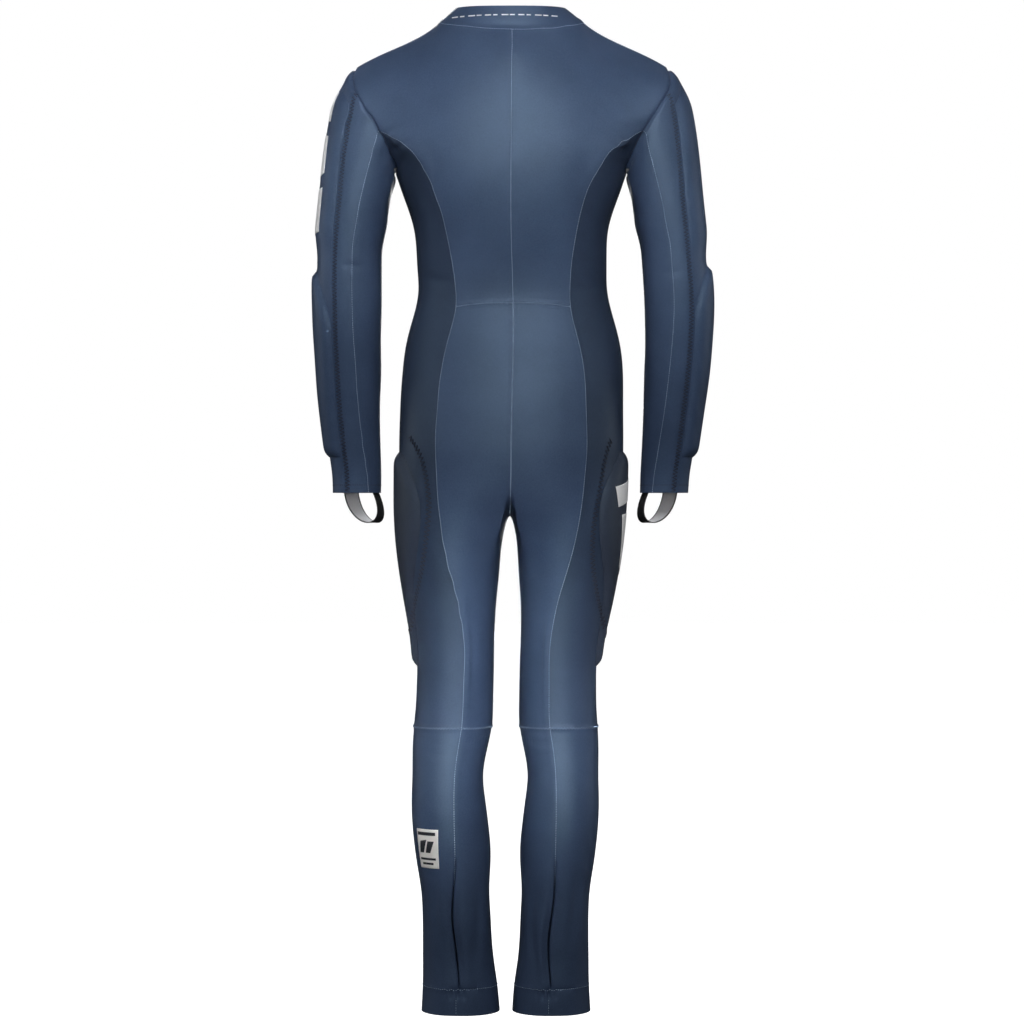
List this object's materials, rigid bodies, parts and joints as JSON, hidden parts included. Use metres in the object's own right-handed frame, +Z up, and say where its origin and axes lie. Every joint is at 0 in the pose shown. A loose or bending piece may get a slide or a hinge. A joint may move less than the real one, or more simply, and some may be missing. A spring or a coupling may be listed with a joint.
{
  "type": "ski race suit",
  "caption": "Close-fitting one-piece stretch ski race suit with padded sleeves and hips, stand collar, front zip and hand loops.",
  "frame": {"origin": "midway between the shoulders, at the height of the middle of the shoulder line, where the wearer holds the suit up", "axes": "+X towards the wearer's right hand, +Y the way the wearer faces, +Z up along the body"},
  "size_m": [0.5628, 0.233, 1.3994],
  "materials": {
    "stretch_knit": "satin",
    "padded_knit": "satin",
    "elastic": "matte",
    "zip_tape": "matte",
    "zip_metal": "satin",
    "patch": "matte"
  },
  "bodies": {
    "suit": {"back_left": "stretch_knit", "back_right": "stretch_knit", "calf_inner_left": "stretch_knit", "calf_inner_right": "stretch_knit", "calf_outer_left": "stretch_knit", "calf_outer_right": "stretch_knit", "calf_patch": "patch", "collar": "stretch_knit", "forearm_pad_left": "padded_knit", "forearm_pad_right": "padded_knit", "front_left": "stretch_knit", "front_right": "stretch_knit", "hand_loop_left": "elastic", "hand_loop_right": "elastic", "hem_band_left": "padded_knit", "hem_band_right": "padded_knit", "hip_pad_left": "padded_knit", "hip_pad_right": "padded_knit", "outer_elbow_left": "stretch_knit", "outer_elbow_right": "stretch_knit", "outer_forearm_left": "stretch_knit", "outer_forearm_right": "stretch_knit", "outer_shoulder_left": "stretch_knit", "outer_shoulder_right": "stretch_knit", "outer_upper_arm_left": "stretch_knit", "outer_upper_arm_right": "stretch_knit", "seat_left": "stretch_knit", "seat_right": "stretch_knit", "side_chest_left": "stretch_knit", "side_chest_right": "stretch_knit", "side_hip_left": "stretch_knit", "side_hip_right": "stretch_knit", "side_knee_left": "stretch_knit", "side_knee_right": "stretch_knit", "side_thigh_left": "stretch_knit", "side_thigh_right": "stretch_knit", "sleeve_back_left": "stretch_knit", "sleeve_back_right": "stretch_knit", "sleeve_front_left": "stretch_knit", "sleeve_front_right": "stretch_knit", "sleeve_under_left": "stretch_knit", "sleeve_under_right": "stretch_knit", "upper_arm_pad_left": "padded_knit", "upper_arm_pad_right": "padded_knit", "zip_slider": "zip_metal", "zip_tape_left": "zip_tape", "zip_tape_right": "zip_tape"},
    "zip_pull": {"pull_tab": "zip_metal"}
  },
  "joints": [
    {"name": "pull_tab_hinge", "type": "hinge", "parent": "suit", "child": "zip_pull", "pos_m": [0.00176, 0.06841, -0.00222], "axis": [1, 0, 0], "range_deg": [0, 150]}
  ]
}
